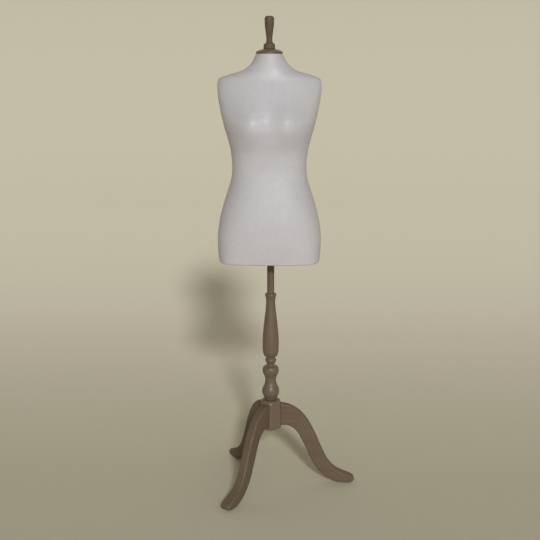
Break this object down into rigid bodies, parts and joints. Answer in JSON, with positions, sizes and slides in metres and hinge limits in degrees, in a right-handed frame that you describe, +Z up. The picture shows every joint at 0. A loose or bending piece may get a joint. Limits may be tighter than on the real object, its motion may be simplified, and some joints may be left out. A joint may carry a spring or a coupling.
{
  "type": "dress form mannequin",
  "caption": "Headless ladies' torso form on a round pole that slides in a turned stem over three S-curved wooden legs, with a turned finial on the neck.",
  "frame": {"origin": "on the floor, on the axis of the stem and pole", "axes": "+Z up, the torso faces -Y, one leg points along +X"},
  "size_m": [0.4805, 0.5306, 1.6286],
  "materials": {
    "torso_skin": "smooth moulded shell, satin",
    "wood_varnish": "taupe-brown satin varnish",
    "pole_wood": "taupe-brown satin varnish, straight grain",
    "raw_wood": "bare plywood and beech",
    "brass": "turned, slightly dulled",
    "steel": "zinc plated",
    "pad_plastic": "dark matt"
  },
  "bodies": {
    "stand": {"stem": "wood_varnish", "clamp_insert": "brass", "stem_insert": "brass", "hub": "wood_varnish", "tie_bolt": "steel", "tie_washer": "steel", "leg_right": "wood_varnish", "leg_back": "wood_varnish", "leg_front": "wood_varnish", "leg_bolts": "steel", "leg_washers": "steel", "leg_nuts": "steel", "leg_dowels": "raw_wood", "foot_pads": "pad_plastic"},
    "pole": {"pole": "pole_wood", "thrust_washer": "pad_plastic"},
    "torso": {"torso_front_shell": "torso_skin", "torso_back_shell": "torso_skin", "seam_strips": "torso_skin", "base_board": "raw_wood", "pole_socket": "steel", "socket_screws": "steel", "socket_set_screw": "steel", "neck_block": "raw_wood", "neck_insert": "brass", "neck_cap": "wood_varnish", "finial": "wood_varnish", "finial_stud": "steel"},
    "clamp_pad": {"clamp_pad": "pad_plastic"},
    "clamp_screw": {"clamp_screw": "steel", "clamp_knob": "brass"}
  },
  "joints": [
    {"name": "height", "type": "slide", "parent": "stand", "child": "pole", "axis": [0, 0, 1], "range_m": [-0.105, 0.11]},
    {"name": "torso_swivel", "type": "hinge", "parent": "pole", "child": "torso", "pos_m": [0, 0, 0.82], "axis": [0, 0, 1], "continuous": true},
    {"name": "clamp_feed", "type": "slide", "parent": "stand", "child": "clamp_pad", "axis": [0, 1, 0], "range_m": [0, 0.003]},
    {"name": "clamp_turn", "type": "hinge", "parent": "clamp_pad", "child": "clamp_screw", "pos_m": [0, 0.03, 0.6865], "axis": [0, 1, 0], "range_deg": [0, 1081]}
  ],
  "couplings": [
    {"joint": "clamp_turn", "follows": "clamp_feed", "rad_per_m": 6283.2}
  ]
}
